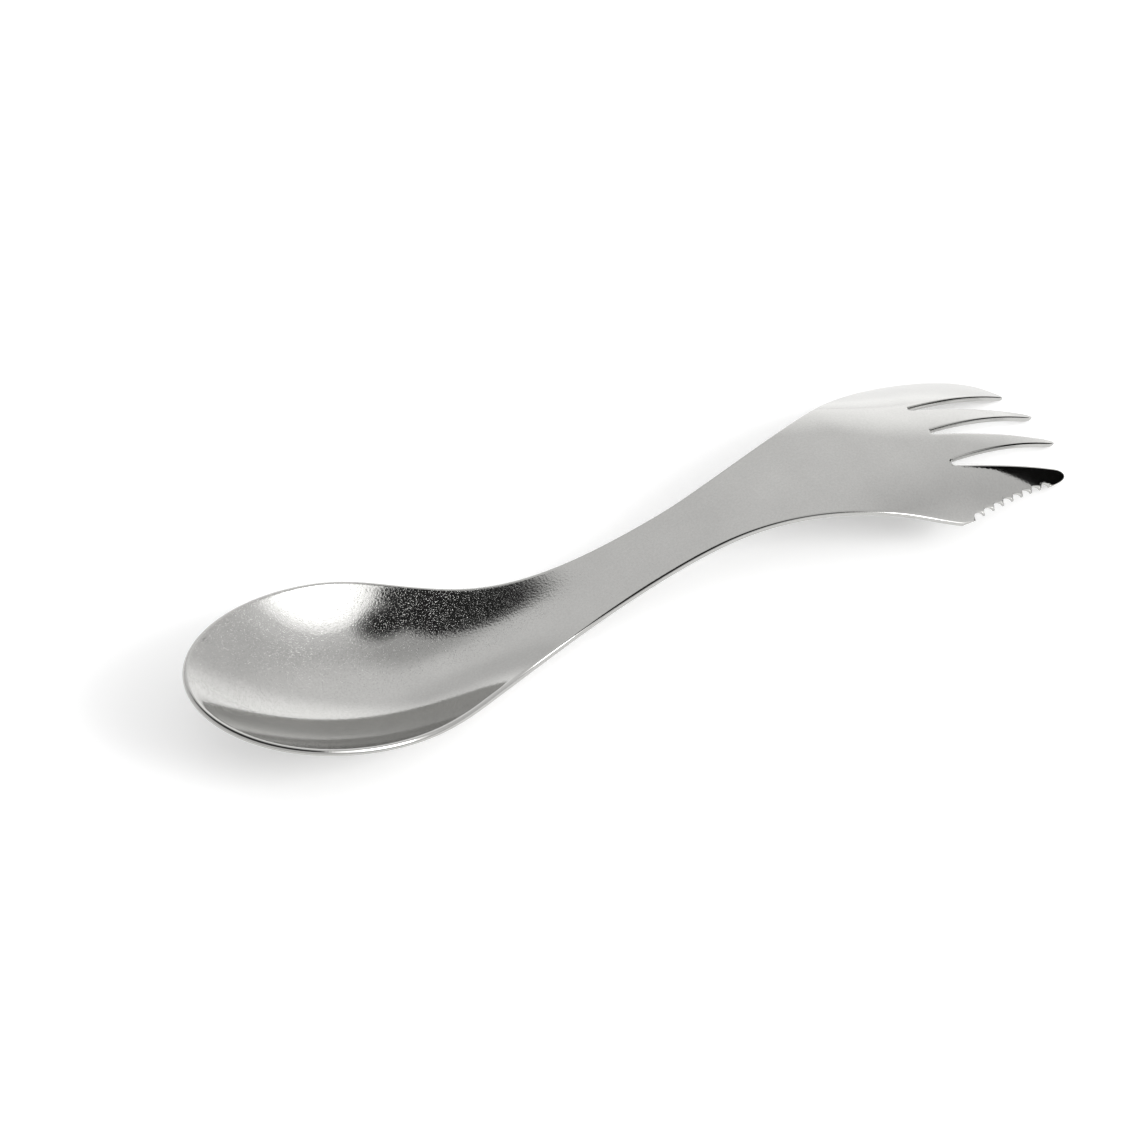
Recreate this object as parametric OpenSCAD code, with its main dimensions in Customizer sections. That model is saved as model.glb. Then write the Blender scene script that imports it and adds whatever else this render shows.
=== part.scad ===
// One-piece spork of stamped steel sheet: a spoon bowl, a flat waisted handle and a
// four-tine fork whose right outer edge is toothed for cutting.
// The shape is the middle surface of the sheet, a height over the table at each place
// (x, y) in plan, thickened both ways. +X runs from the spoon to the fork, +Y to the left
// of it and +Z up. The origin is on the table, below the middle of the length.

/* [Sheet] */
// Thickness of the steel sheet
sheet_t = 1.2; // [0.8:0.1:1.6]
// How far in from the outline the polished edge rounds over
edge_round = 0.45; // [0.2:0.05:0.5]

/* [Spoon bowl] */
// Width of the bowl at its widest place
bowl_w = 39.6; // [34:0.2:44]
// Length from the spoon's tip to the widest place
bowl_front_l = 28.1; // [24:0.1:34]
// Length from the tip to the lowest place of the bowl's floor
bowl_low_l = 39.1; // [34:0.1:44]
// Height of the spoon's tip over the table
bowl_tip_h = 18.9; // [12:0.1:24]
// Slope of the bowl's floor at the tip, in degrees
bowl_tip_pitch = 44.4; // [30:0.1:55]
// Radius of the hollow across the bowl
bowl_cross_r = 20.5; // [18:0.1:40]
// Length from the tip to where the hollow begins to fade
bowl_full_l = 47.6; // [40:0.1:60]

/* [Handle] */
// Width of the handle at its waist
waist_w = 12.4; // [9:0.1:16]
// Length from the widest place of the bowl to the waist
bowl_to_waist_l = 62; // [50:0.5:80]
// Height of the waist over the table
waist_h = 10.25; // [6:0.05:14]
// Slope of the straight middle of the handle, in degrees
handle_pitch = 14.4; // [8:0.1:20]
// Length of the straight middle of the handle
handle_flat_l = 16; // [8:0.5:24]

/* [Fork] */
// Width of the fork across the tine roots
fork_w = 38; // [35:0.2:42]
// Length from the waist to the tine roots
waist_to_root_l = 54.6; // [50:0.2:70]
// Length from the waist to the highest place of the fork
waist_to_crest_l = 37; // [24:0.1:44]
// Height of the highest place of the fork
crest_h = 15.25; // [12:0.05:22]
// Length from the waist to where the arch across is full
waist_to_arch_l = 50; // [40:0.2:60]
// Radius of the arch across the fork
fork_cross_r = 29; // [24:0.2:60]
// Height of the tine roots on the middle line
root_h = 12; // [8:0.05:16]
// Slope at the tine roots, in degrees
root_pitch = 16.1; // [8:0.1:26]

/* [Tines] */
// Length of the inner tines
tine_l = 25.3; // [20:0.1:32]
// Height of the inner tines' tips on the middle line
tip_h = 0.6; // [0:0.01:3]
// Radius of the flatter arch across the tines' tips
tip_cross_r = 36; // [28:0.5:80]
// Slope of the tines at their tips, in degrees
tip_pitch = 33.1; // [24:0.1:42]
// How far the outer tines end short of the inner ones
outer_tine_short = 1.9; // [0.5:0.1:4]
// Distance between the middle lines of neighbouring slots
slot_pitch = 7.45; // [7:0.05:8.4]
// Width of a slot at its round root
slot_root_w = 1; // [0.8:0.1:1.6]
// Width of a slot at the tips of the inner tines
slot_mouth_w = 6.2; // [4:0.1:6.6]
// How far the sides of a slot bow into the tines
slot_bow = 0.25; // [0:0.01:0.4]
// How far in from a slot's outline its edge rounds over
slot_edge_round = 0.45; // [0.1:0.05:0.5]
// Length over which an inner tine's tip is rounded
inner_round_l = 2.4; // [1:0.1:3]
// Length over which the slot side of an outer tine's tip is rounded
outer_round_l = 1.8; // [1:0.1:2.4]
// Length over which a tine thins to its tip, from below
tip_thin_l = 3; // [2:0.1:5]
// Width of the fork across its front shoulders
shoulder_w = 28.8; // [26:0.2:33]
// Length from a shoulder to the tip of the outer tine
shoulder_l = 2.5; // [1.5:0.1:5]

/* [Knife edge] */
// Number of gullets between the teeth
gullet_count = 8; // [4:1:12]
// Depth of a gullet
gullet_depth = 0.9; // [0.3:0.05:1.2]
// How far the toothed tine ends short of the plain outer one
knife_tine_short = 1.1; // [0:0.1:3]
// How far the toothed edge is rounded over
knife_round = 0.1; // [0.05:0.01:0.15]
// Length from the tine roots back to the first tooth
knife_back_l = 1.9; // [0.5:0.1:3]
// Distance from the middle line to the first tooth
knife_back_y = 18.1; // [16.5:0.1:18.6]
// Length from the last tooth to the tip of its tine
knife_front_l = 5; // [4:0.1:8]
// Distance from the middle line to the last tooth
knife_front_y = 14; // [12.8:0.1:15]

/* [Hidden] */

steel = [0.42, 0.4175, 0.406];

// Mesh steps: along and across each region, round a slot root, and over the rounded edge
bowl_front_rows = 12;
bowl_back_rows = 14;
bowl_cols = 20;
handle_rows = 9;
handle_cols = 8;
palm_rows = 10;
knife_land_rows = 3;
tine_rows = 16;
gullet_rows = 8;
tine_cols = 6;
slot_cols = 6;
edge_steps = 4;

// Where the outline's curves are pulled to, as shares of their length and width
bowl_pull_share = 0.3;
waist_back_pull_share = 0.64;
waist_front_pull_share = 0.46;
root_pull_share = 0.19;
shoulder_near_share = 0.5;
shoulder_far_share = 0.9;
shoulder_drop_share = 0.4;
// Where the handle is cut from the bowl and from the fork, along those curves
bowl_end_share = 0.73;
handle_end_share = 0.24;
// Where the plain edge of the fork ends and the knife's land begins
land_share = 0.87;
// Where a tine's rows start to follow its round tip, and how they crowd towards it
tip_start_share = 0.8;
tip_crowd_share = 1.5;

// Places along the length
overall_l = bowl_front_l + bowl_to_waist_l + waist_to_root_l + tine_l;
bowl_tip_x = -overall_l/2;
bowl_wide_x = bowl_tip_x + bowl_front_l;
bowl_low_x = bowl_tip_x + bowl_low_l;
bowl_full_x = bowl_tip_x + bowl_full_l;
waist_x = bowl_wide_x + bowl_to_waist_l;
flat_back_x = waist_x - handle_flat_l/2;
flat_front_x = waist_x + handle_flat_l/2;
crest_x = waist_x + waist_to_crest_l;
arch_full_x = waist_x + waist_to_arch_l;
root_x = waist_x + waist_to_root_l;
tip_x = root_x + tine_l;
outer_tip_x = tip_x - outer_tine_short;
knife_tip_x = outer_tip_x - knife_tine_short;
shoulder_x = outer_tip_x - shoulder_l;
flat_rise = tan(handle_pitch)*handle_flat_l/2;

// How much rounder than a plain box the edge's cross section is, where 1 is an ellipse
edge_square_share = 0.75;

// How much deeper a gullet is at its end towards the handle than at its other end
gullet_lean_share = 0.6;
// Part of the sheet's thickness that is left at the toothed edge, ground from below, and how
// fast the grind and the gullets fade away from that edge
knife_thin_share = 0.6;
knife_fade_share = 4;

// Part of the sheet's thickness that is left at the very tip of a tine
tip_end_share = 0.25;

// A narrow tine limits the rounding of its edges
slot_round_share = 0.8;
inner_end_x = tip_x - inner_round_l;
slot_round = min(slot_edge_round, slot_round_share*(slot_pitch/2 - slot_half(inner_end_x)));

// Middle line of the sheet from the spoon's tip to the tines' tips: place, height, slope
profile = [
    [bowl_tip_x, bowl_tip_h, -tan(bowl_tip_pitch)],
    [bowl_low_x, sheet_t/2, 0],
    [flat_back_x, waist_h - flat_rise, tan(handle_pitch)],
    [flat_front_x, waist_h + flat_rise, tan(handle_pitch)],
    [crest_x, crest_h, 0],
    [root_x, root_h, -tan(root_pitch)],
    [tip_x, tip_h, -tan(tip_pitch)]];

// Half outlines in plan
bowl_side = [
    [bowl_wide_x, bowl_w/2],
    [mix(bowl_wide_x, waist_x, bowl_pull_share), bowl_w/2],
    [mix(waist_x, bowl_wide_x, waist_back_pull_share), waist_w/2],
    [waist_x, waist_w/2]];
fork_side = [
    [waist_x, waist_w/2],
    [mix(waist_x, root_x, waist_front_pull_share), waist_w/2],
    [mix(root_x, waist_x, root_pull_share), fork_w/2],
    [root_x, fork_w/2]];
plain_edge = [
    [root_x, fork_w/2],
    [mix(root_x, shoulder_x, shoulder_near_share), fork_w/2],
    [mix(root_x, shoulder_x, shoulder_far_share), mix(fork_w, shoulder_w, shoulder_drop_share)/2],
    [shoulder_x, shoulder_w/2]];
knife_line = [
    [root_x - knife_back_l, -knife_back_y],
    [knife_tip_x - knife_front_l, -knife_front_y]];

// Plain helpers
function mix(a, b, u) = a + (b - a)*u;
function clamp(u) = min(max(u, 0), 1);
function ease(u) = let(c = clamp(u)) c*c*(3 - 2*c);
function ease_slope(u) = let(c = clamp(u)) 6*c*(1 - c);
function bezier(p, u) =
    pow(1 - u, 3)*p[0] + 3*u*pow(1 - u, 2)*p[1] + 3*u*u*(1 - u)*p[2] + pow(u, 3)*p[3];

// Height and slope of the middle line at x
function stretch(x, i = 0) =
    i < len(profile) - 2 && x > profile[i + 1][0] ? stretch(x, i + 1) : i;
function line_z(x) =
    let(i = stretch(x), a = profile[i], b = profile[i + 1], span = b[0] - a[0], u = (x - a[0])/span)
    mix(a[1], b[1], ease_open(u)) + span*u*(1 - u)*(a[2]*(1 - u) - b[2]*u);
function line_slope(x) =
    let(i = stretch(x), a = profile[i], b = profile[i + 1], span = b[0] - a[0], u = (x - a[0])/span)
    (b[1] - a[1])/span*6*u*(1 - u) + a[2]*(1 - u)*(1 - 3*u) + b[2]*u*(3*u - 2);
function ease_open(u) = u*u*(3 - 2*u);

// Curvature across the sheet at x, hollow in the bowl and arched in the fork
bowl_fade_l = flat_back_x - bowl_full_x;
arch_rise_l = arch_full_x - flat_front_x;
arch_fade_l = tip_x - arch_full_x;
tip_flatter_k = 1/fork_cross_r - 1/tip_cross_r;
function cross_k(x) =
    (1 - ease((x - bowl_full_x)/bowl_fade_l))/bowl_cross_r
    - ease((x - flat_front_x)/arch_rise_l)/fork_cross_r
    + ease((x - arch_full_x)/arch_fade_l)*tip_flatter_k;
function cross_k_slope(x) =
    -ease_slope((x - bowl_full_x)/bowl_fade_l)/(bowl_fade_l*bowl_cross_r)
    - ease_slope((x - flat_front_x)/arch_rise_l)/(arch_rise_l*fork_cross_r)
    + ease_slope((x - arch_full_x)/arch_fade_l)*tip_flatter_k/arch_fade_l;

// Point of the sheet at plan place q, moved by h along the sheet's normal
function lift(q, h) =
    let(z = line_z(q.x) + cross_k(q.x)*q.y*q.y/2,
        along = line_slope(q.x) + cross_k_slope(q.x)*q.y*q.y/2,
        across = cross_k(q.x)*q.y,
        normal = [-along, -across, 1])
    [q.x, q.y, z] + normal*(h/norm(normal));

// A grid place: where the flat of the sheet ends, how far its rounded edge reaches out, and
// the part of the thickness that the sheet has there
function place(inner, outer, is_edge, thin = 1) =
    [inner, is_edge ? outer - inner : [0, 0], thin];

// Bowl front: a square grid drawn into half an ellipse, u to the tip and v across
function bowl_front(u, v, inset) =
    [bowl_wide_x - (bowl_front_l - inset)*u*sqrt(1 - v*v/2),
     (bowl_w/2 - inset)*v*sqrt(1 - u*u/2)];

// Row of places across a half outline and its mirror image
function strip_row(side, u, cols) =
    let(p = bezier(side, u))
    [for (j = [0:cols])
        let(v = 1 - 2*j/cols)
        place([p.x, v*(p.y - edge_round)], [p.x, v*p.y], j == 0 || j == cols)];

// Slots are counted from the left, and a slot's side 1 is its left one
function slot_y(n) = (1 - n)*slot_pitch;
function slot_half(x) =
    let(u = (x - root_x)/tine_l)
    mix(slot_root_w, slot_mouth_w, u)/2 + 4*slot_bow*u*(1 - u);
function slot_side(n, side, x, inset) = [x, slot_y(n) + side*(slot_half(x) + inset)];
function slot_root(n, angle, inset) =
    let(r = slot_root_w/2 + inset)
    [root_x - r*sin(angle), slot_y(n) + r*cos(angle)];

// Toothed edge: a straight line with a round gullet between each tooth and the next
function gullet(u) =
    let(f = u*gullet_count - floor(u*gullet_count))
    gullet_depth*(1 + gullet_lean_share*(1/2 - f))*sqrt(1 - pow(abs(2*f - 1), 3));

// Tines are counted from the left. Inset is a share of the edge's own rounding
function tine_tip_x(t) = [outer_tip_x, tip_x, tip_x, knife_tip_x][t];
function tine_thin(t, v, x) =
    let(tip = 1 - clamp((tine_tip_x(t) - x)/tip_thin_l),
        edge = t == 3 ? pow(v, knife_fade_share) : 0)
    min(mix(tip_end_share, 1, sqrt(1 - tip*tip)), mix(1, knife_thin_share, edge));
function slot_end_x(t) = t == 1 || t == 2 ? inner_end_x : tine_tip_x(t) - outer_round_l;
function left_edge(t, u, inset) =
    t == 0 ? bezier(plain_edge, u) - [0, inset*edge_round]
    : slot_side(t - 1, -1, mix(root_x, slot_end_x(t), u), inset*slot_round);
function right_edge(t, u, inset) =
    t == 3 ? mix(knife_line[0], knife_line[1], u) + [0, inset*knife_round]
    : slot_side(t, 1, mix(root_x, slot_end_x(t), u), inset*slot_round);

// Direction of each edge where the round tip takes over, as a rise for each step in x
function plain_end_rise() = let(d = plain_edge[3] - plain_edge[2]) d.y/d.x;
function knife_end_rise() = let(d = knife_line[1] - knife_line[0]) d.y/d.x;
function slot_end_rise(x) =
    let(u = (x - root_x)/tine_l)
    ((slot_mouth_w - slot_root_w)/2 + 4*slot_bow*(1 - 2*u))/tine_l;
function left_rise(t) = t == 0 ? plain_end_rise() : -slot_end_rise(slot_end_x(t));
function right_rise(t) = t == 3 ? knife_end_rise() : slot_end_rise(slot_end_x(t));

// Round tip of a tine from its left edge to its right one, smooth with both
function tip_curve(t, v, inset) =
    let(a = left_edge(t, 1, inset), b = right_edge(t, 1, inset),
        reach = (4*(tine_tip_x(t) - inset*slot_round) - (a.x + b.x)/2)/3,
        a_pull = a + (reach - a.x)*[1, left_rise(t)],
        b_pull = b + (reach - b.x)*[1, right_rise(t)])
    bezier([a, a_pull, b_pull, b], v);
function tine_point(t, u, v, inset) =
    let(chord = mix(left_edge(t, u, inset), right_edge(t, u, inset), v),
        end_chord = mix(left_edge(t, 1, inset), right_edge(t, 1, inset), v),
        blend = pow(clamp((u - tip_start_share)/(1 - tip_start_share)), 2),
        bite = t == 3 ? gullet(u)*pow(v, knife_fade_share) : 0)
    chord + [0, bite] + blend*(tip_curve(t, v, inset) - end_chord);

// Grids of places: rows run along +X and columns from left to right
bowl_grid = concat(
    [for (i = [0:bowl_front_rows])
        [for (j = [0:bowl_cols])
            let(u = 1 - i/bowl_front_rows, v = 1 - 2*j/bowl_cols)
            place(bowl_front(u, v, edge_round), bowl_front(u, v, 0),
                  i == 0 || j == 0 || j == bowl_cols)]],
    [for (i = [1:bowl_back_rows])
        strip_row(bowl_side, bowl_end_share*i/bowl_back_rows, bowl_cols)]);

handle_grid = concat(
    [for (i = [0:handle_rows])
        strip_row(bowl_side, mix(bowl_end_share, 1, i/handle_rows), handle_cols)],
    [for (i = [1:handle_rows])
        strip_row(fork_side, handle_end_share*i/handle_rows, handle_cols)]);

// Rows of a plain tine crowd towards its tip, and rows of the knife tine are even
plain_shares = [for (i = [0:tine_rows]) 1 - pow(1 - i/tine_rows, tip_crowd_share)];
knife_rows = gullet_count*gullet_rows;
knife_shares = [for (i = [0:knife_rows]) i/knife_rows];
function tine_grid(t, shares) =
    [for (u = shares)
        [for (j = [0:tine_cols])
            let(v = j/tine_cols, inner = tine_point(t, u, v, 1))
            place(inner, tine_point(t, u, v, 0), u == 1 || j == 0 || j == tine_cols,
                  tine_thin(t, v, inner.x))]];

// The palm's front row holds the four tine roots with the round slot roots between them
palm_front = [
    for (t = [0:3])
        each concat(
            [for (j = [0:tine_cols])
                place(tine_point(t, 0, j/tine_cols, 1), tine_point(t, 0, j/tine_cols, 0),
                      j == 0 || j == tine_cols, tine_thin(t, j/tine_cols, root_x))],
            t == 3 ? [] : [for (j = [1:slot_cols - 1])
                let(angle = 180*j/slot_cols)
                place(slot_root(t, angle, slot_round), slot_root(t, angle, 0), true)])];
palm_last = len(palm_front) - 1;
palm_shares = [
    for (p = palm_front)
        (palm_front[0][0].y - p[0].y)/(palm_front[0][0].y - palm_front[palm_last][0].y)];
function palm_row(u) =
    let(p = bezier(fork_side, u), half = p.y - edge_round)
    [for (j = [0:palm_last])
        place([p.x, mix(half, -half, palm_shares[j])],
              [p.x, mix(p.y, -p.y, palm_shares[j])], j == 0 || j == palm_last)];
function land_row(u) =
    let(start = palm_row(land_share))
    [for (j = [0:palm_last])
        [mix(start[j][0], palm_front[j][0], u),
         u == 1 || j == 0 || j == palm_last ? mix(start[j][1], palm_front[j][1], u) : [0, 0],
         mix(start[j][2], palm_front[j][2], u)]];
palm_grid = concat(
    [for (i = [0:palm_rows]) palm_row(mix(handle_end_share, land_share, i/palm_rows))],
    [for (i = [1:knife_land_rows]) land_row(i/knife_land_rows)]);

// Closed solid of the sheet over a grid: two faces and a rounded edge all round
module formed_sheet(grid) {
    rows = len(grid) - 1;
    cols = len(grid[0]) - 1;
    places = [for (row = grid) each row];
    count = len(places);
    function at(i, j) = i*(cols + 1) + j;
    loop = concat(
        [for (i = [0:rows - 1]) at(i, 0)],
        [for (j = [0:cols - 1]) at(rows, j)],
        [for (i = [rows:-1:1]) at(i, cols)],
        [for (j = [cols:-1:1]) at(0, j)]);
    turns = len(loop);
    top = [for (p = places) lift(p[0], sheet_t/2)];
    bottom = [for (p = places) lift(p[0], sheet_t/2 - p[2]*sheet_t)];
    edge = [
        for (b = loop)
            for (k = [1:edge_steps - 1])
                let(angle = 90 - 180*k/edge_steps,
                    reach = pow(cos(angle), edge_square_share),
                    rise = sign(angle)*pow(abs(sin(angle)), edge_square_share),
                    depth = (1 - rise)/2*places[b][2]*sheet_t)
                lift(places[b][0] + reach*places[b][1], sheet_t/2 - depth)];
    // Vertex k of the edge at stop b of the loop, from the top face to the bottom one
    function edge_at(b, k) =
        k == 0 ? loop[b]
        : k == edge_steps ? count + loop[b]
        : 2*count + b*(edge_steps - 1) + k - 1;
    faces = concat(
        [for (i = [0:rows - 1])
            for (j = [0:cols - 1])
                each [[at(i, j), at(i + 1, j), at(i + 1, j + 1)],
                      [at(i, j), at(i + 1, j + 1), at(i, j + 1)]]],
        [for (i = [0:rows - 1])
            for (j = [0:cols - 1])
                each [count*[1, 1, 1] + [at(i, j), at(i + 1, j + 1), at(i + 1, j)],
                      count*[1, 1, 1] + [at(i, j), at(i, j + 1), at(i + 1, j + 1)]]],
        [for (b = [0:turns - 1])
            let(next = (b + 1)%turns)
            for (k = [0:edge_steps - 1])
                each [[edge_at(next, k), edge_at(b, k), edge_at(b, k + 1)],
                      [edge_at(next, k), edge_at(b, k + 1), edge_at(next, k + 1)]]]);
    polyhedron(points = concat(top, bottom, edge), faces = faces, convexity = 6);
}

module spoon_bowl() { color(steel) formed_sheet(bowl_grid); }
module handle() { color(steel) formed_sheet(handle_grid); }
module fork_palm() { color(steel) formed_sheet(palm_grid); }
module outer_tine() { color(steel) formed_sheet(tine_grid(0, plain_shares)); }
module inner_tine_left() { color(steel) formed_sheet(tine_grid(1, plain_shares)); }
module inner_tine_right() { color(steel) formed_sheet(tine_grid(2, plain_shares)); }
module knife_tine() { color(steel) formed_sheet(tine_grid(3, knife_shares)); }

spoon_bowl();
handle();
fork_palm();
outer_tine();
inner_tine_left();
inner_tine_right();
knife_tine();
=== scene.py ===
"""A one-piece steel spork: one seamless sheet of polished steel on a pale studio floor."""
import math

import bmesh
import bpy
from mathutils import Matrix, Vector


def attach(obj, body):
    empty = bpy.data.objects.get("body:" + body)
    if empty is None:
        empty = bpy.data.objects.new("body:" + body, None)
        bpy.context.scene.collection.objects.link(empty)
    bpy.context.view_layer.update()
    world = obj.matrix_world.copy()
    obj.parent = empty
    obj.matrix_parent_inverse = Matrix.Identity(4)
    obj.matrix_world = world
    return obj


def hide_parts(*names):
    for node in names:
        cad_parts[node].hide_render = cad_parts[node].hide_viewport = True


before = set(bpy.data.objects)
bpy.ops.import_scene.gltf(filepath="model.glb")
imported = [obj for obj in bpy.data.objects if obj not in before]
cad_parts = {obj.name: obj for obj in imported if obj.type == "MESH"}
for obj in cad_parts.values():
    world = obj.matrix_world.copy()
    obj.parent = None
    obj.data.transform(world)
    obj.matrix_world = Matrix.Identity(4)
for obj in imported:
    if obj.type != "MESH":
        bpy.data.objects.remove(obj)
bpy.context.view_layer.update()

# Sizes below are in millimetres and degrees where no other unit is named, and the finished mesh
# is scaled to metres
MM = 0.001

# Sheet
SHEET_T = 1.2
EDGE_ROUND = 0.45

# Spoon bowl
BOWL_W = 39.6
BOWL_FRONT_L = 28.1
BOWL_LOW_L = 39.1
BOWL_TIP_H = 18.9
BOWL_TIP_PITCH = 44.4
BOWL_CROSS_R = 20.5
BOWL_FULL_L = 47.6

# Handle
WAIST_W = 12.4
BOWL_TO_WAIST_L = 62.0
WAIST_H = 10.25
HANDLE_PITCH = 14.4
HANDLE_FLAT_L = 16.0

# Fork
FORK_W = 38.0
WAIST_TO_ROOT_L = 54.6
WAIST_TO_CREST_L = 37.0
CREST_H = 15.25
WAIST_TO_ARCH_L = 50.0
FORK_CROSS_R = 29.0
ROOT_H = 12.0
ROOT_PITCH = 16.1

# Tines
TINE_L = 25.3
TIP_H = 0.6
TIP_CROSS_R = 36.0
TIP_PITCH = 33.1
OUTER_TINE_SHORT = 1.9
SLOT_PITCH = 7.45
SLOT_ROOT_W = 1.0
SLOT_MOUTH_W = 6.2
SLOT_BOW = 0.25
SLOT_EDGE_ROUND = 0.45
INNER_ROUND_L = 2.4
OUTER_ROUND_L = 1.8
TIP_THIN_L = 3.0
SHOULDER_W = 28.8
SHOULDER_L = 2.5

# Knife edge
GULLET_COUNT = 8
GULLET_DEPTH = 0.9
KNIFE_TINE_SHORT = 1.1
KNIFE_ROUND = 0.1
KNIFE_BACK_L = 1.9
KNIFE_BACK_Y = 18.1
KNIFE_FRONT_L = 5.0
KNIFE_FRONT_Y = 14.0

# Where the outline's curves are pulled to, as shares of their length and width
BOWL_PULL = 0.3
WAIST_BACK_PULL = 0.64
WAIST_FRONT_PULL = 0.46
ROOT_PULL = 0.19
SHOULDER_NEAR = 0.5
SHOULDER_FAR = 0.9
SHOULDER_DROP = 0.4
LAND_SHARE = 0.87
GULLET_LEAN = 0.6
KNIFE_THIN = 0.6
KNIFE_FADE = 4
TIP_START = 0.8
TIP_CROWD = 1.5
TIP_END = 0.25
SLOT_ROUND_SHARE = 0.8
# Below 1 the rim's cross section turns from an ellipse to a box with round corners
RIM_SQUARE = 0.75

# Mesh steps
BOWL_FRONT_ROWS = 44
SIDE_ROWS = 84
PALM_ROWS = 56
LAND_ROWS = 8
TINE_ROWS = 44
GULLET_ROWS = 18
TINE_COLS = 12
SLOT_COLS = 12
RIM_STEPS = 12

# Points closer than this become one
MERGE_DIST = 1e-4

# Depth of the polish's fine grain and of its sparse pits, in metres
GRAIN_DEPTH = 4.5e-6
PIT_DEPTH = 2.6e-5
# Steps of the polish in each metre, and the noise at which a pit begins and is deepest
GRAIN_SCALE = 2600.0
PIT_SCALE = 6500.0
CLOUD_SCALE = 120.0
PIT_NOISE = (0.65, 0.83)
# Where the deeper polish of the bowl's far wall begins and is full, in metres
DRAWN_X = (-0.010, -0.040)
DRAWN_Y = (-0.006, 0.006)
STEEL_DARK = (0.36, 0.358, 0.348, 1)
STEEL_LIGHT = (0.48, 0.477, 0.464, 1)
STEEL_ROUGH = (0.04, 0.09)

# Floor: half its side, how far back it turns brighter, in metres, and its own light near and far
FLOOR_HALF = 6.0
FLOOR_BACK_WAY = 49
FLOOR_BACK = (0.05, 0.13)
FLOOR_SEEN = (0.31, 0.47)
FLOOR_MIRRORED = (0.15, 0.43)
PAPER_WHITE = (0.92, 0.92, 0.92, 1)

# Studio: a place is an azimuth, an elevation and the angles where it is full and where it ends
STUDIO_GREY = 0.94
FAR_WALL, FAR_WALL_GLOW = (42, 39, 0, 37), 0.24
SWEEP, SWEEP_GLOW = (49, -10, 0, 43), 0.84
SIDE_WALL, SIDE_WALL_GLOW = (104, 52, 0, 28), 0.16
FLARE, FLARE_GLOW = (-44, 37, 5, 30), 0.28
CEILING_EDGE = (-163, 22, 73.5, 76)
CEILING_CORNER = (-58, 67, 2, 15)
CEILING_LOW = (0.59, 0.72)
CEILING_DARK = 0.04
ZENITH = (0.85, 0.985)
ZENITH_SHARE = 0.75
PAPER_SIDE, PAPER_SIDE_GLOW = (-30, 31, 0, 40), 0.9
PAPER_DOME = (0.4, 1.0)
PAPER_DOME_GLOW = 1.15

# Lamp: azimuth and elevation, then distance, size and power of its core and its halo
KEY_WAY = (-53, 37)
KEY_CORE = (0.9, 0.35, 2.2)
KEY_HALO = (0.92, 0.76, 0.27)
KEY_HALO_SPREAD = 46

# Black cards past the tines: where each end stands and how high it is
TIP_CARD = ((154.9, 18.1, 77.0), (185.0, -43.3, 3.0))
EDGE_CARD = ((150.0, -10.0, 33.0), (120.0, -50.0, 33.0))
CARD_BLACK = (0.01, 0.01, 0.01, 1)

# Camera: where it is and what it looks at, its lens and sensor, and its near limit in metres
CAMERA_SPOT = (-172.37, -305.32, 404.58)
CAMERA_AIM = (-11.53, 4.54, 6.79)
CAMERA_LENS = 94.4
CAMERA_SENSOR = 36.0
CAMERA_NEAR = 0.01

# Places along the length
OVERALL_L = BOWL_FRONT_L + BOWL_TO_WAIST_L + WAIST_TO_ROOT_L + TINE_L
BOWL_TIP_X = -OVERALL_L / 2
BOWL_WIDE_X = BOWL_TIP_X + BOWL_FRONT_L
BOWL_LOW_X = BOWL_TIP_X + BOWL_LOW_L
BOWL_FULL_X = BOWL_TIP_X + BOWL_FULL_L
WAIST_X = BOWL_WIDE_X + BOWL_TO_WAIST_L
FLAT_BACK_X = WAIST_X - HANDLE_FLAT_L / 2
FLAT_FRONT_X = WAIST_X + HANDLE_FLAT_L / 2
CREST_X = WAIST_X + WAIST_TO_CREST_L
ARCH_FULL_X = WAIST_X + WAIST_TO_ARCH_L
ROOT_X = WAIST_X + WAIST_TO_ROOT_L
TIP_X = ROOT_X + TINE_L
OUTER_TIP_X = TIP_X - OUTER_TINE_SHORT
KNIFE_TIP_X = OUTER_TIP_X - KNIFE_TINE_SHORT
SHOULDER_X = OUTER_TIP_X - SHOULDER_L
INNER_END_X = TIP_X - INNER_ROUND_L
TINE_TIPS = (OUTER_TIP_X, TIP_X, TIP_X, KNIFE_TIP_X)


def slope(degrees):
    return math.tan(math.radians(degrees))


def mix(a, b, u):
    return a + (b - a) * u


def clamp(u):
    return min(max(u, 0.0), 1.0)


def ease(u):
    c = clamp(u)
    return c * c * (3 - 2 * c)


def ease_slope(u):
    c = clamp(u)
    return 6 * c * (1 - c)


def bezier(p, u):
    w = 1 - u
    return p[0] * w**3 + p[1] * (3 * u * w * w) + p[2] * (3 * u * u * w) + p[3] * u**3


# Middle line of the sheet from the spoon's tip to the tines' tips: place, height, slope
FLAT_RISE = slope(HANDLE_PITCH) * HANDLE_FLAT_L / 2
PROFILE = (
    (BOWL_TIP_X, BOWL_TIP_H, -slope(BOWL_TIP_PITCH)),
    (BOWL_LOW_X, SHEET_T / 2, 0.0),
    (FLAT_BACK_X, WAIST_H - FLAT_RISE, slope(HANDLE_PITCH)),
    (FLAT_FRONT_X, WAIST_H + FLAT_RISE, slope(HANDLE_PITCH)),
    (CREST_X, CREST_H, 0.0),
    (ROOT_X, ROOT_H, -slope(ROOT_PITCH)),
    (TIP_X, TIP_H, -slope(TIP_PITCH)),
)


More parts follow.
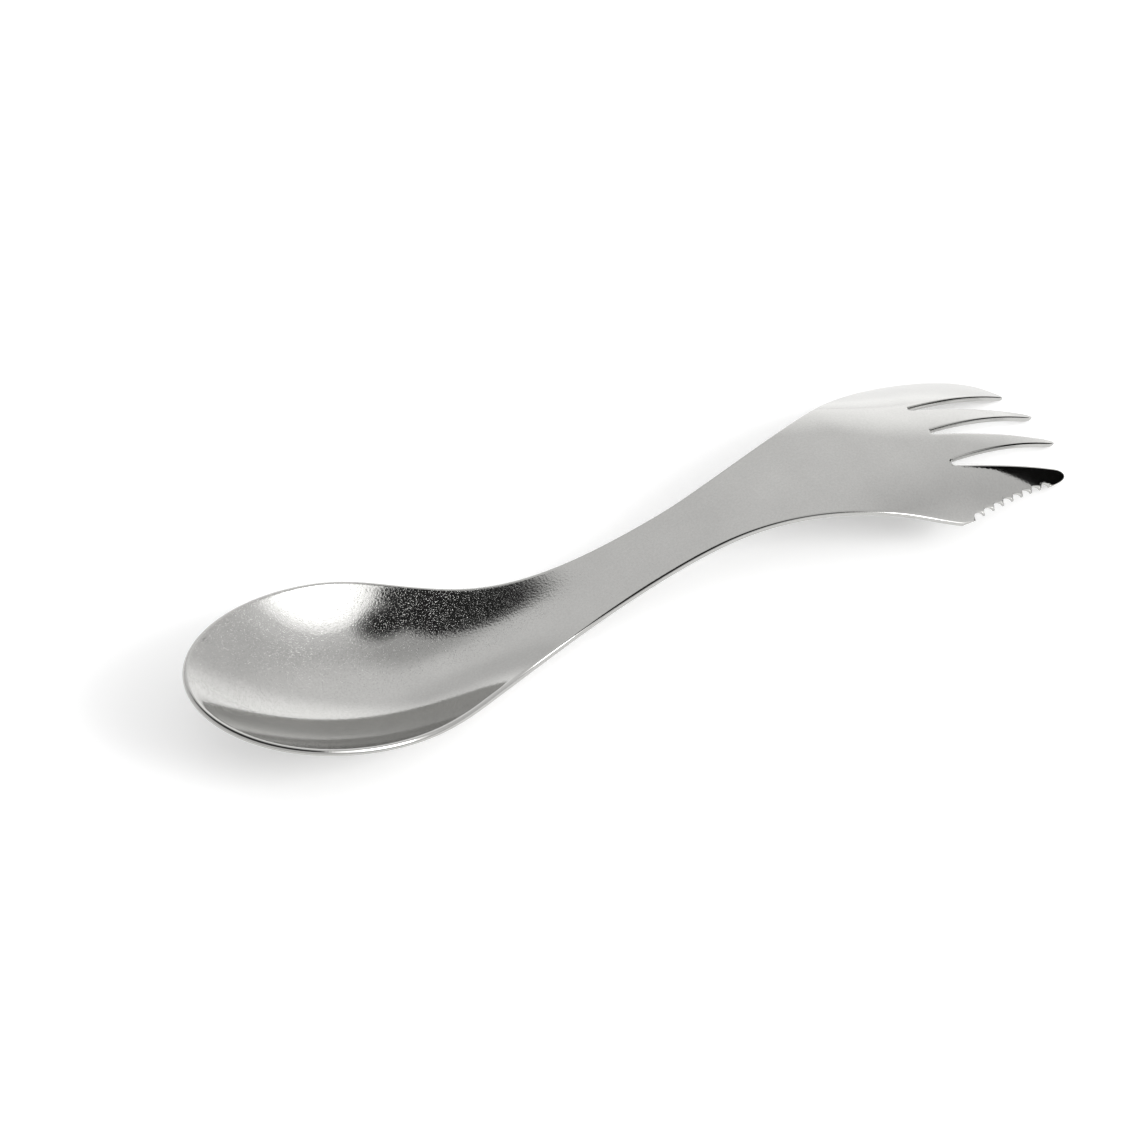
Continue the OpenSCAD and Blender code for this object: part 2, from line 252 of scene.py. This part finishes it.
def line(x):
    """Height and slope of the middle line at x"""
    i = 0
    while i < len(PROFILE) - 2 and x > PROFILE[i + 1][0]:
        i += 1
    (xa, za, ma), (xb, zb, mb) = PROFILE[i], PROFILE[i + 1]
    span = xb - xa
    u = (x - xa) / span
    z = mix(za, zb, u * u * (3 - 2 * u)) + span * u * (1 - u) * (ma * (1 - u) - mb * u)
    m = (zb - za) / span * 6 * u * (1 - u) + ma * (1 - u) * (1 - 3 * u) + mb * u * (3 * u - 2)
    return z, m


BOWL_FADE_L = FLAT_BACK_X - BOWL_FULL_X
ARCH_RISE_L = ARCH_FULL_X - FLAT_FRONT_X
ARCH_FADE_L = TIP_X - ARCH_FULL_X
TIP_FLATTER = 1 / FORK_CROSS_R - 1 / TIP_CROSS_R


def across(x):
    """Curvature across the sheet at x and how fast it changes: hollow bowl, arched fork"""
    fade = (x - BOWL_FULL_X) / BOWL_FADE_L
    rise = (x - FLAT_FRONT_X) / ARCH_RISE_L
    flat = (x - ARCH_FULL_X) / ARCH_FADE_L
    k = (1 - ease(fade)) / BOWL_CROSS_R - ease(rise) / FORK_CROSS_R + ease(flat) * TIP_FLATTER
    dk = (
        -ease_slope(fade) / (BOWL_FADE_L * BOWL_CROSS_R)
        - ease_slope(rise) / (ARCH_RISE_L * FORK_CROSS_R)
        + ease_slope(flat) * TIP_FLATTER / ARCH_FADE_L
    )
    return k, dk


def lift(x, y, h):
    """Point of the formed sheet over the flat place (x, y), moved by h along its normal"""
    z, m = line(x)
    k, dk = across(x)
    normal = Vector((-m - dk * y * y / 2, -k * y, 1.0)).normalized()
    return Vector((x, y, z + k * y * y / 2)) + normal * h


# Half outlines in plan
BOWL_SIDE = [
    Vector((BOWL_WIDE_X, BOWL_W / 2)),
    Vector((mix(BOWL_WIDE_X, WAIST_X, BOWL_PULL), BOWL_W / 2)),
    Vector((mix(WAIST_X, BOWL_WIDE_X, WAIST_BACK_PULL), WAIST_W / 2)),
    Vector((WAIST_X, WAIST_W / 2)),
]
FORK_SIDE = [
    Vector((WAIST_X, WAIST_W / 2)),
    Vector((mix(WAIST_X, ROOT_X, WAIST_FRONT_PULL), WAIST_W / 2)),
    Vector((mix(ROOT_X, WAIST_X, ROOT_PULL), FORK_W / 2)),
    Vector((ROOT_X, FORK_W / 2)),
]
PLAIN_EDGE = [
    Vector((ROOT_X, FORK_W / 2)),
    Vector((mix(ROOT_X, SHOULDER_X, SHOULDER_NEAR), FORK_W / 2)),
    Vector((mix(ROOT_X, SHOULDER_X, SHOULDER_FAR), mix(FORK_W, SHOULDER_W, SHOULDER_DROP) / 2)),
    Vector((SHOULDER_X, SHOULDER_W / 2)),
]
KNIFE_LINE = [
    Vector((ROOT_X - KNIFE_BACK_L, -KNIFE_BACK_Y)),
    Vector((KNIFE_TIP_X - KNIFE_FRONT_L, -KNIFE_FRONT_Y)),
]


def bowl_front(u, v, inset):
    """A square drawn into half an ellipse: u runs to the tip and v across"""
    x = BOWL_WIDE_X - (BOWL_FRONT_L - inset) * u * math.sqrt(1 - v * v / 2)
    y = (BOWL_W / 2 - inset) * v * math.sqrt(1 - u * u / 2)
    return Vector((x, y))


def slot_half(x):
    u = (x - ROOT_X) / TINE_L
    return mix(SLOT_ROOT_W, SLOT_MOUTH_W, u) / 2 + 4 * SLOT_BOW * u * (1 - u)


SLOT_ROUND = min(SLOT_EDGE_ROUND, SLOT_ROUND_SHARE * (SLOT_PITCH / 2 - slot_half(INNER_END_X)))


def slot_y(n):
    return (1 - n) * SLOT_PITCH


def slot_side(n, side, x, inset):
    return Vector((x, slot_y(n) + side * (slot_half(x) + inset)))


def slot_root(n, angle, inset):
    r = SLOT_ROOT_W / 2 + inset
    return Vector((ROOT_X - r * math.sin(angle), slot_y(n) + r * math.cos(angle)))


def gullet(u):
    """Depth of the toothed edge: a round gullet between each tooth and the next"""
    f = u * GULLET_COUNT - math.floor(u * GULLET_COUNT)
    return GULLET_DEPTH * (1 + GULLET_LEAN * (0.5 - f)) * math.sqrt(1 - abs(2 * f - 1) ** 3)


def slot_end_x(t):
    return INNER_END_X if t in (1, 2) else TINE_TIPS[t] - OUTER_ROUND_L


def left_edge(t, u, inset):
    if t == 0:
        return bezier(PLAIN_EDGE, u) - Vector((0, inset * EDGE_ROUND))
    return slot_side(t - 1, -1, mix(ROOT_X, slot_end_x(t), u), inset * SLOT_ROUND)


def right_edge(t, u, inset):
    if t == 3:
        return mix(KNIFE_LINE[0], KNIFE_LINE[1], u) + Vector((0, inset * KNIFE_ROUND))
    return slot_side(t, 1, mix(ROOT_X, slot_end_x(t), u), inset * SLOT_ROUND)


def rise(a, b):
    return (b.y - a.y) / (b.x - a.x)


def slot_end_rise(x):
    u = (x - ROOT_X) / TINE_L
    return ((SLOT_MOUTH_W - SLOT_ROOT_W) / 2 + 4 * SLOT_BOW * (1 - 2 * u)) / TINE_L


def left_rise(t):
    return rise(PLAIN_EDGE[2], PLAIN_EDGE[3]) if t == 0 else -slot_end_rise(slot_end_x(t))


def right_rise(t):
    return rise(*KNIFE_LINE) if t == 3 else slot_end_rise(slot_end_x(t))


def tip_curve(t, v, inset):
    """Round tip of a tine from its left edge to its right one, smooth with both"""
    a, b = left_edge(t, 1, inset), right_edge(t, 1, inset)
    reach = (4 * (TINE_TIPS[t] - inset * SLOT_ROUND) - (a.x + b.x) / 2) / 3
    a_pull = a + Vector((1, left_rise(t))) * (reach - a.x)
    b_pull = b + Vector((1, right_rise(t))) * (reach - b.x)
    return bezier((a, a_pull, b_pull, b), v)


def tine_point(t, u, v, inset):
    chord = mix(left_edge(t, u, inset), right_edge(t, u, inset), v)
    end_chord = mix(left_edge(t, 1, inset), right_edge(t, 1, inset), v)
    blend = clamp((u - TIP_START) / (1 - TIP_START)) ** 2
    bite = gullet(u) * v**KNIFE_FADE if t == 3 else 0.0
    return chord + Vector((0, bite)) + (tip_curve(t, v, inset) - end_chord) * blend


def tine_thin(t, v, x):
    """Part of the thickness that is left, ground from below at a tip and a toothed edge"""
    tip = 1 - clamp((TINE_TIPS[t] - x) / TIP_THIN_L)
    edge = v**KNIFE_FADE if t == 3 else 0.0
    return min(mix(TIP_END, 1, math.sqrt(1 - tip * tip)), mix(1, KNIFE_THIN, edge))


def tine_place(t, u, v):
    inner = tine_point(t, u, v, 1)
    return inner, tine_point(t, u, v, 0) - inner, tine_thin(t, v, inner.x)


# Rows of a plain tine crowd towards its tip, and rows of the knife tine are even
PLAIN_SHARES = [1 - (1 - i / TINE_ROWS) ** TIP_CROWD for i in range(TINE_ROWS + 1)]
KNIFE_ROWS = GULLET_COUNT * GULLET_ROWS
KNIFE_SHARES = [i / KNIFE_ROWS for i in range(KNIFE_ROWS + 1)]


def front_places():
    """The palm's front row: the four tine roots with the round slot roots between them"""
    row = []
    for t in range(4):
        row += [tine_place(t, 0, j / TINE_COLS) for j in range(TINE_COLS + 1)]
        if t < 3:
            for j in range(1, SLOT_COLS):
                angle = math.pi * j / SLOT_COLS
                inner = slot_root(t, angle, SLOT_ROUND)
                row.append((inner, slot_root(t, angle, 0) - inner, 1.0))
    return row


FRONT_ROW = front_places()
COLS = len(FRONT_ROW) - 1
FRONT_SPAN = FRONT_ROW[0][0].y - FRONT_ROW[-1][0].y
FRONT_SHARES = [(FRONT_ROW[0][0].y - p[0].y) / FRONT_SPAN for p in FRONT_ROW]
BODY_ROWS = BOWL_FRONT_ROWS + SIDE_ROWS + PALM_ROWS + LAND_ROWS


def strip_place(p, share):
    v = 1 - 2 * share
    return Vector((p.x, v * (p.y - EDGE_ROUND))), Vector((0, v * EDGE_ROUND)), 1.0


def body_place(i, j):
    """Flat place of row i and column j, from the spoon's tip to the tine roots"""
    even = j / COLS
    if i < BOWL_FRONT_ROWS:
        u, v = 1 - i / BOWL_FRONT_ROWS, 1 - 2 * even
        inner = bowl_front(u, v, EDGE_ROUND)
        return inner, bowl_front(u, v, 0) - inner, 1.0
    i -= BOWL_FRONT_ROWS
    if i < SIDE_ROWS:
        return strip_place(bezier(BOWL_SIDE, i / SIDE_ROWS), even)
    i -= SIDE_ROWS
    if i < PALM_ROWS:
        share = mix(even, FRONT_SHARES[j], ease(i / PALM_ROWS))
        return strip_place(bezier(FORK_SIDE, LAND_SHARE * i / PALM_ROWS), share)
    start = strip_place(bezier(FORK_SIDE, LAND_SHARE), FRONT_SHARES[j])
    u = (i - PALM_ROWS) / LAND_ROWS
    return tuple(mix(a, b, u) for a, b in zip(start, FRONT_ROW[j]))


def lay_grid(bm, outward, part, rows, cols, place):
    """Adds a grid of the flat blank: rows along +X, columns from left to right"""
    made = bmesh.ops.create_grid(bm, x_segments=rows, y_segments=cols, size=1.0)
    for v in made["verts"]:
        i = round((v.co.x + 1) / 2 * rows)
        j = round((1 - v.co.y) / 2 * cols)
        inner, out, thin = place(i, j)
        v.co = (inner.x, inner.y, 0)
        v[outward] = (out.x, out.y, 0)
        v[part] = thin


def rim_profile(u):
    """Reach out and rise of the cut edge: round corners and a nearly flat face between"""
    angle = math.pi * (0.5 - u)
    c, s = math.cos(angle), math.sin(angle)
    return abs(c) ** RIM_SQUARE, math.copysign(abs(s) ** RIM_SQUARE, s)


def spork_sheet():
    """Lays out the flat blank, rounds its edge, and forms it"""
    bm = bmesh.new()
    outward = bm.verts.layers.float_vector.new("outward")
    part = bm.verts.layers.float.new("part of thickness")
    depth = bm.verts.layers.float.new("depth")
    lay_grid(bm, outward, part, BODY_ROWS, COLS, body_place)
    for t in range(4):
        shares = KNIFE_SHARES if t == 3 else PLAIN_SHARES
        lay_grid(bm, outward, part, len(shares) - 1, TINE_COLS,
                 lambda i, j: tine_place(t, shares[i], j / TINE_COLS))
    bmesh.ops.remove_doubles(bm, verts=bm.verts[:], dist=MERGE_DIST)

    # The under face is a turned copy of the upper one
    rim = [e for e in bm.edges if e.is_boundary]
    copy = bmesh.ops.duplicate(bm, geom=bm.verts[:] + bm.edges[:] + bm.faces[:])["geom"]
    bmesh.ops.reverse_faces(bm, faces=[g for g in copy if isinstance(g, bmesh.types.BMFace)])
    for v in copy:
        if isinstance(v, bmesh.types.BMVert):
            v[depth] = 1.0

    # The edge is drawn out round the rim from the upper face to the under one
    reached = 0.0
    for step in range(1, RIM_STEPS + 1):
        drawn = bmesh.ops.extrude_edge_only(bm, edges=rim)["geom"]
        reach, rise_share = rim_profile(step / RIM_STEPS)
        for v in drawn:
            if isinstance(v, bmesh.types.BMVert):
                v.co += v[outward] * (reach - reached)
                v[depth] = (1 - rise_share) / 2
        reached = reach
        rim = [e for e in drawn if isinstance(e, bmesh.types.BMEdge) and e.is_boundary]

    for v in bm.verts:
        v.co = lift(v.co.x, v.co.y, (0.5 - v[depth] * v[part]) * SHEET_T)
    bmesh.ops.remove_doubles(bm, verts=bm.verts[:], dist=MERGE_DIST)
    bmesh.ops.recalc_face_normals(bm, faces=bm.faces[:])
    bmesh.ops.scale(bm, vec=(MM, MM, MM), verts=bm.verts[:])
    for f in bm.faces:
        f.smooth = True
    bm.verts.layers.float_vector.remove(bm.verts.layers.float_vector["outward"])
    bm.verts.layers.float.remove(bm.verts.layers.float["part of thickness"])
    bm.verts.layers.float.remove(bm.verts.layers.float["depth"])
    # One fixed order of points and faces, so that each run gives the same mesh
    ranks = {v: i for i, v in enumerate(sorted(bm.verts, key=lambda v: v.co[:]))}
    bm.verts.sort(key=ranks.get)
    corners = {f: sorted(ranks[v] for v in f.verts) for f in bm.faces}
    ranks = {f: i for i, f in enumerate(sorted(bm.faces, key=corners.get))}
    bm.faces.sort(key=ranks.get)
    mesh = bpy.data.meshes.new("spork_sheet")
    bm.to_mesh(mesh)
    bm.free()
    piece = bpy.data.objects.new("spork_sheet", mesh)
    bpy.context.scene.collection.objects.link(piece)
    return piece


class Nodes:
    """Short way to add shader nodes and link them"""

    def __init__(self, tree):
        self.tree = tree
        tree.nodes.clear()

    def add(self, kind, inputs=None, **settings):
        node = self.tree.nodes.new(kind)
        for name, value in settings.items():
            setattr(node, name, value)
        for name, value in (inputs or {}).items():
            if isinstance(value, bpy.types.NodeSocket):
                self.tree.links.new(value, node.inputs[name])
            else:
                node.inputs[name].default_value = value
        return node

    def math(self, operation, *values):
        return self.add("ShaderNodeMath", dict(enumerate(values)), operation=operation).outputs[0]

    def ramp(self, value, low, high, to_low, to_high, smooth=True):
        kind = "SMOOTHSTEP" if smooth else "LINEAR"
        node = self.add("ShaderNodeMapRange", {"Value": value, "From Min": low, "From Max": high,
                                               "To Min": to_low, "To Max": to_high},
                        interpolation_type=kind)
        return node.outputs["Result"]


def polished_steel():
    material = bpy.data.materials.new("polished_steel")
    material.use_nodes = True
    n = Nodes(material.node_tree)
    place = n.add("ShaderNodeTexCoord").outputs["Object"]
    axes = n.add("ShaderNodeSeparateXYZ", {0: place}).outputs
    drawn = n.math("MULTIPLY", n.ramp(axes["X"], *DRAWN_X, 0.0, 1.0),
                   n.ramp(axes["Y"], *DRAWN_Y, 0.0, 1.0))
    grain = n.add("ShaderNodeTexNoise", {"Vector": place, "Scale": GRAIN_SCALE, "Detail": 1.0,
                                         "Roughness": 0.5}).outputs["Fac"]
    speck = n.add("ShaderNodeTexNoise", {"Vector": place, "Scale": PIT_SCALE,
                                         "Detail": 0.0}).outputs["Fac"]
    pits = n.math("MULTIPLY", n.ramp(speck, *PIT_NOISE, 0.0, PIT_DEPTH), drawn)
    depth = n.math("MULTIPLY_ADD", drawn, GRAIN_DEPTH, GRAIN_DEPTH)
    height = n.math("MULTIPLY_ADD", grain, depth, pits)
    cloud = n.add("ShaderNodeTexNoise", {"Vector": place, "Scale": CLOUD_SCALE,
                                         "Detail": 3.0}).outputs["Fac"]
    mottle = n.math("MULTIPLY", n.math("ADD", cloud, grain), 0.5)
    tone = n.add("ShaderNodeMix", {0: mottle, 6: STEEL_DARK, 7: STEEL_LIGHT}, data_type="RGBA")
    rough = n.ramp(cloud, 0.3, 0.7, *STEEL_ROUGH, smooth=False)
    bump = n.add("ShaderNodeBump", {"Strength": 1.0, "Distance": 1.0, "Height": height})
    shader = n.add("ShaderNodeBsdfPrincipled", {"Base Color": tone.outputs[2], "Metallic": 1.0,
                                                "Roughness": rough, "Normal": bump.outputs["Normal"]})
    n.add("ShaderNodeOutputMaterial", {"Surface": shader.outputs[0]})
    return material


def direction(azimuth, elevation):
    a, e = math.radians(azimuth), math.radians(elevation)
    return Vector((math.cos(a) * math.cos(e), math.sin(a) * math.cos(e), math.sin(e)))


def studio_floor():
    bm = bmesh.new()
    bmesh.ops.create_grid(bm, x_segments=2, y_segments=2, size=FLOOR_HALF)
    mesh = bpy.data.meshes.new("floor")
    bm.to_mesh(mesh)
    bm.free()
    floor = bpy.data.objects.new("floor", mesh)
    bpy.context.scene.collection.objects.link(floor)
    material = bpy.data.materials.new("floor_white")
    material.use_nodes = True
    n = Nodes(material.node_tree)
    ray = n.add("ShaderNodeLightPath").outputs
    seen = n.math("MAXIMUM", n.math("MAXIMUM", ray["Is Camera Ray"], ray["Is Glossy Ray"]),
                  ray["Is Transmission Ray"])
    paper = n.add("ShaderNodeBsdfPrincipled", {"Base Color": PAPER_WHITE, "Roughness": 0.9,
                                               "Specular IOR Level": 0.0})
    place = n.add("ShaderNodeTexCoord").outputs["Object"]
    back = n.add("ShaderNodeVectorMath", {0: place, 1: direction(FLOOR_BACK_WAY, 0)},
                 operation="DOT_PRODUCT").outputs["Value"]
    white = n.math("MULTIPLY", seen, n.ramp(back, *FLOOR_BACK, *FLOOR_SEEN))
    mirrored = n.math("MULTIPLY", ray["Is Glossy Ray"], n.ramp(back, *FLOOR_BACK, *FLOOR_MIRRORED))
    glow = n.add("ShaderNodeEmission", {"Strength": n.math("ADD", white, mirrored)})
    both = n.add("ShaderNodeAddShader", {0: paper.outputs[0], 1: glow.outputs[0]})
    n.add("ShaderNodeOutputMaterial", {"Surface": both.outputs[0]})
    mesh.materials.append(material)


def studio_world():
    """Grey studio: bright sweep behind the spork, dark ceiling over the camera's side"""
    world = bpy.data.worlds.new("studio")
    bpy.context.scene.world = world
    world.use_nodes = True
    n = Nodes(world.node_tree)
    way = n.add("ShaderNodeTexCoord").outputs["Generated"]

    def near(azimuth, elevation, inner, outer):
        """1 within the inner angle of a direction, easing to 0 at the outer one"""
        cosine = n.add("ShaderNodeVectorMath", {0: way, 1: direction(azimuth, elevation)},
                       operation="DOT_PRODUCT").outputs["Value"]
        return n.ramp(cosine, math.cos(math.radians(outer)), math.cos(math.radians(inner)), 0.0, 1.0)

    up = n.add("ShaderNodeSeparateXYZ", {0: way}).outputs["Z"]
    plain = STUDIO_GREY
    for place, glow in ((FAR_WALL, FAR_WALL_GLOW), (SWEEP, SWEEP_GLOW),
                        (SIDE_WALL, SIDE_WALL_GLOW), (FLARE, FLARE_GLOW)):
        plain = n.math("MULTIPLY_ADD", near(*place), glow, plain)
    # The ceiling is dark from its edge over the spork to a little above the camera side's horizon
    high = n.ramp(up, *CEILING_LOW, 0.0, 1.0)
    dark = n.math("MULTIPLY", n.math("MAXIMUM", near(*CEILING_EDGE), near(*CEILING_CORNER)), high)
    ceiling = n.math("MULTIPLY", n.ramp(dark, 0.0, 1.0, 1.0, CEILING_DARK, smooth=False),
                     n.ramp(up, *ZENITH, 1.0, ZENITH_SHARE))
    seen = n.math("MULTIPLY", plain, ceiling)
    # Paper takes an even light from above and one side, and steel mirrors the bright and dark places
    on_paper = n.add("ShaderNodeLightPath").outputs["Is Diffuse Ray"]
    dome = n.ramp(up, *PAPER_DOME, 0.0, PAPER_DOME_GLOW, smooth=False)
    even = n.math("MULTIPLY_ADD", near(*PAPER_SIDE), PAPER_SIDE_GLOW, dome)
    strength = n.add("ShaderNodeMix", {0: on_paper, 2: seen, 3: even}).outputs[0]
    back = n.add("ShaderNodeBackground", {"Color": (1, 1, 1, 1), "Strength": strength})
    n.add("ShaderNodeOutputWorld", {"Surface": back.outputs[0]})


def softbox(name, azimuth, elevation, distance, size, power, spread=180):
    lamp = bpy.data.lights.new(name, "AREA")
    lamp.shape = "DISK"
    lamp.size = size
    lamp.energy = power
    lamp.spread = math.radians(spread)
    obj = bpy.data.objects.new(name, lamp)
    way = direction(azimuth, elevation)
    obj.location = way * distance
    obj.rotation_euler = way.to_track_quat("Z", "Y").to_euler()
    bpy.context.scene.collection.objects.link(obj)


def black_card(name, ends):
    """Card that stands on the floor past the tines, seen only in the steel"""
    bm = bmesh.new()
    foot = bm.edges.new([bm.verts.new(Vector((x, y, 0)) * MM) for x, y, height in ends])
    drawn = bmesh.ops.extrude_edge_only(bm, edges=[foot])["geom"]
    top = [v for v in drawn if isinstance(v, bmesh.types.BMVert)]
    for v, (x, y, height) in zip(top, ends):
        bmesh.ops.translate(bm, vec=(0, 0, height * MM), verts=[v])
    mesh = bpy.data.meshes.new(name)
    bm.to_mesh(mesh)
    bm.free()
    card = bpy.data.objects.new(name, mesh)
    bpy.context.scene.collection.objects.link(card)
    card.visible_camera = card.visible_shadow = card.visible_diffuse = False
    material = bpy.data.materials.new("card_black")
    material.use_nodes = True
    n = Nodes(material.node_tree)
    felt = n.add("ShaderNodeBsdfDiffuse", {"Color": CARD_BLACK})
    n.add("ShaderNodeOutputMaterial", {"Surface": felt.outputs[0]})
    mesh.materials.append(material)


def photo_camera():
    camera = bpy.data.cameras.new("camera")
    camera.sensor_width = CAMERA_SENSOR
    camera.lens = CAMERA_LENS
    camera.clip_start = CAMERA_NEAR
    obj = bpy.data.objects.new("camera", camera)
    spot = Vector(CAMERA_SPOT) * MM
    aim = Vector(CAMERA_AIM) * MM
    obj.location = spot
    obj.rotation_euler = (spot - aim).to_track_quat("Z", "Y").to_euler()
    bpy.context.scene.collection.objects.link(obj)
    bpy.context.scene.camera = obj


photo_camera()
bpy.context.scene.view_settings.view_transform = "Standard"
studio_world()
studio_floor()
softbox("key_core", *KEY_WAY, *KEY_CORE)
softbox("key_halo", *KEY_WAY, *KEY_HALO, spread=KEY_HALO_SPREAD)
black_card("tip_card", TIP_CARD)
black_card("edge_card", EDGE_CARD)

spork = spork_sheet()
spork.data.materials.append(polished_steel())
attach(spork, "root")
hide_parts("spoon_bowl", "handle", "fork_palm", "outer_tine", "inner_tine_left",
            "inner_tine_right", "knife_tine")
